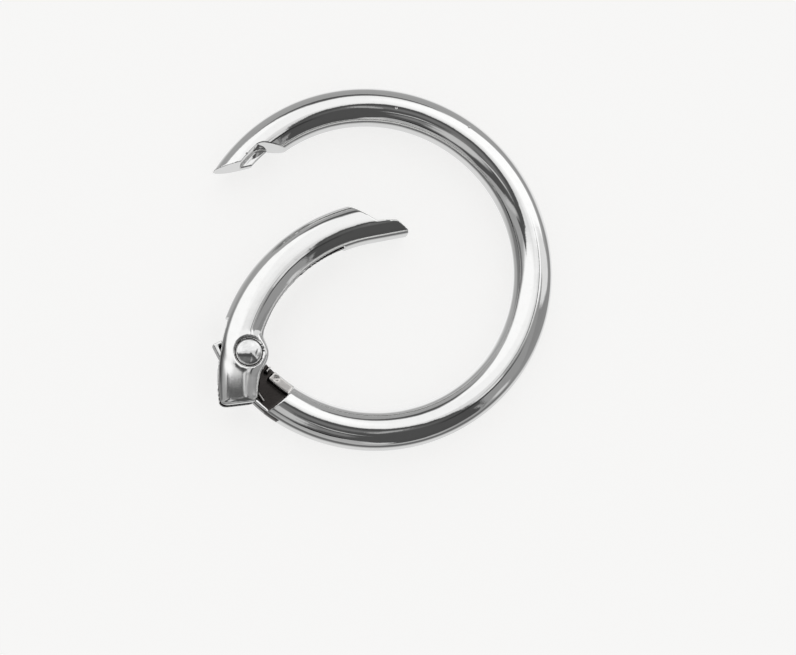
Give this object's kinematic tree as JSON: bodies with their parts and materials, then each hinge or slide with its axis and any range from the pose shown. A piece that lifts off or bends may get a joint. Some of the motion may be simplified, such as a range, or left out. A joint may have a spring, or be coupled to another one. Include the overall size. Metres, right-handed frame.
{
  "type": "spring gate ring",
  "caption": "Round-bar ring with a sprung, inward-swinging gate hinged on a rivet and a half-lap nose, for clipping straps, cords and rings together.",
  "frame": {"origin": "centre of the ring's opening, on the mid-plane of the bar", "axes": "the ring lies flat in XY; +Z out of its front; the hinge is at 216.3 degrees and the nose at 144 degrees from +X, counter-clockwise about +Z; the gate swings about +Z"},
  "size_m": [0.0298, 0.0318, 0.0034],
  "materials": {
    "body_plating": "bright nickel plating over a zinc die casting",
    "gate_plating": "bright nickel plating over a zinc die casting",
    "rivet_steel": "bright plated steel, domed heads",
    "spring_steel": "drawn spring steel wire"
  },
  "bodies": {
    "ring": {"ring_body": "body_plating", "spring": "spring_steel"},
    "gate": {"gate": "gate_plating", "rivet": "rivet_steel"}
  },
  "joints": [
    {"name": "gate_hinge", "type": "hinge", "parent": "ring", "child": "gate", "pos_m": [-0.01072, -0.00787, 0], "axis": [0, 0, 1], "range_deg": [-15, 45], "stiffness_Nm_per_rad": 0.006, "springref_deg": 74.48, "deforming": ["spring"]}
  ]
}
